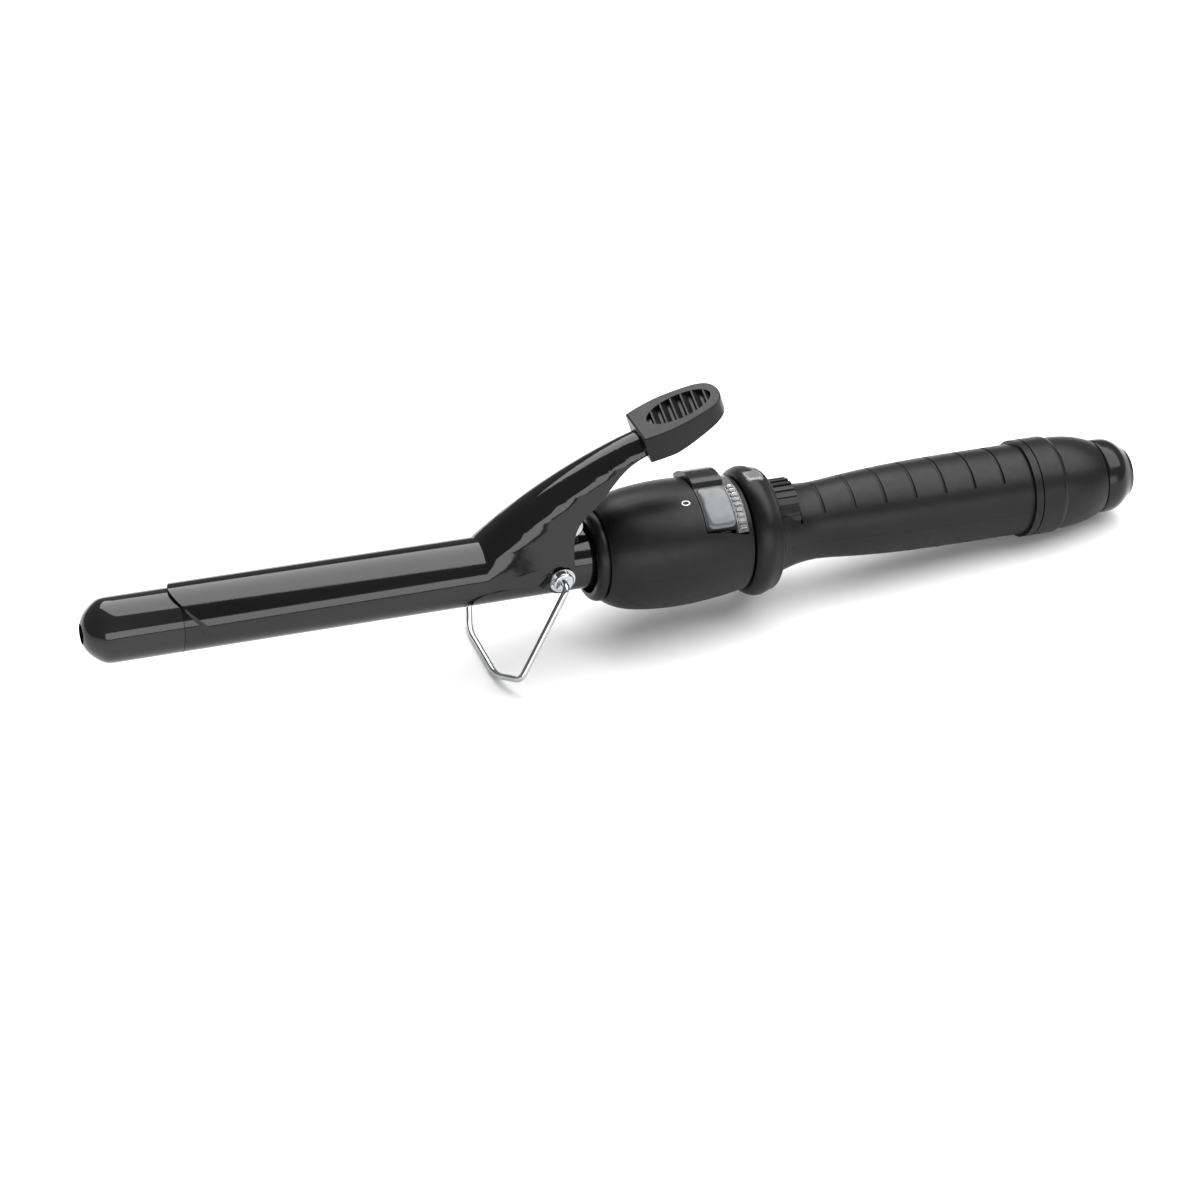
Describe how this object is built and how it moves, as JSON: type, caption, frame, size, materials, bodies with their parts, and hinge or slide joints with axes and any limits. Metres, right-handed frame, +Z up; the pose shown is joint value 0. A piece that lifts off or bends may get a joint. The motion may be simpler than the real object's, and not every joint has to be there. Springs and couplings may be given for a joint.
{
  "type": "curling iron",
  "caption": "Slim-barrel electric curling iron with a sprung clamp and thumb rest, folding wire stand, rocker switch, heat dial and swivelling cord end.",
  "frame": {"origin": "bottom centre of the whole tool as it rests on a table, on the foot of its wire stand and the rear edge of its handle band", "axes": "+X from the tip to the cord end, which sits lower because the stand tips the barrel up; +Y across the tool along the clamp hinge; +Z up"},
  "size_m": [0.3324, 0.0482, 0.0759],
  "materials": {
    "gloss_black_coat": "gloss",
    "coated_aluminium": "gloss black coat",
    "tip_plastic": "gloss",
    "soft_black_plastic": "satin",
    "rest_plastic": "satin",
    "cap_plastic": "gloss",
    "rocker_plastic": "satin",
    "dial_plastic": "satin",
    "clear_window": "clear",
    "chromed_wire": "polished",
    "plated_steel": "zinc plated",
    "heat_alloy": "extruded",
    "heater_ceramic": "fired ceramic",
    "film": "amber film",
    "inner_plastic": "moulded",
    "led_lens": "moulded",
    "board": "circuit board",
    "component_black": "moulded",
    "copper_winding": "enamelled wire",
    "lead_sleeve": "sleeved wire",
    "contact_brass": "bare"
  },
  "bodies": {
    "handle": {"tip_cap": "tip_plastic", "tip_screw": "plated_steel", "barrel_tube": "coated_aluminium", "barrel_end_plug": "heat_alloy", "heat_block_upper": "heat_alloy", "heat_block_lower": "heat_alloy", "heater_element": "heater_ceramic", "heater_insulation": "film", "thermistor": "film", "thermal_fuse": "plated_steel", "hinge_block": "heat_alloy", "root_bush": "inner_plastic", "clamp_spring": "plated_steel", "hinge_screws": "chromed_wire", "hinge_washers": "chromed_wire", "nose_ring": "soft_black_plastic", "upper_shell": "soft_black_plastic", "lower_shell": "soft_black_plastic", "housing_screws": "plated_steel", "collar_ring": "soft_black_plastic", "indicator_lens": "clear_window", "indicator_led": "led_lens", "switch_pin": "plated_steel", "switch_body": "inner_plastic", "switch_window": "clear_window", "dial_potentiometer": "inner_plastic", "circuit_board": "board", "capacitor": "component_black", "triac": "component_black", "inductor": "copper_winding", "heater_leads": "lead_sleeve", "end_sleeve": "soft_black_plastic", "inner_collar": "inner_plastic", "contact_brushes": "contact_brass", "brush_holder": "inner_plastic", "mains_leads": "lead_sleeve"},
    "clamp": {"clamp_lever": "gloss_black_coat", "thumb_rest": "rest_plastic", "thumb_rest_rivet": "plated_steel"},
    "stand": {"stand_wire": "chromed_wire"},
    "rocker": {"rocker_switch": "rocker_plastic"},
    "dial": {"temp_dial": "dial_plastic", "dial_spindle": "inner_plastic"},
    "swivel": {"swivel_cap": "cap_plastic", "swivel_stem": "inner_plastic", "cord_gland": "cap_plastic", "slip_ring_carrier": "inner_plastic", "slip_rings": "contact_brass"}
  },
  "joints": [
    {"name": "clamp_pivot", "type": "hinge", "parent": "handle", "child": "clamp", "pos_m": [-0.02651, 0, 0.02985], "axis": [0, 1, 0], "range_deg": [0, 18], "stiffness_Nm_per_rad": 0.5, "springref_deg": -34.38},
    {"name": "stand_fold", "type": "hinge", "parent": "handle", "child": "stand", "pos_m": [-0.02651, 0, 0.02985], "axis": [0, 1, 0], "range_deg": [-25, 35]},
    {"name": "switch_rock", "type": "hinge", "parent": "handle", "child": "rocker", "pos_m": [0.02313, 0, 0.03555], "axis": [-0.9966, 0, 0.0828], "range_deg": [0, 8]},
    {"name": "dial_turn", "type": "hinge", "parent": "handle", "child": "dial", "pos_m": [0.04693, 0, 0.02735], "axis": [0.9966, 0, -0.0828], "range_deg": [0, 270]},
    {"name": "cord_swivel", "type": "hinge", "parent": "handle", "child": "swivel", "pos_m": [0.15446, 0, 0.0136], "axis": [0.9966, 0, -0.0828], "continuous": true}
  ]
}
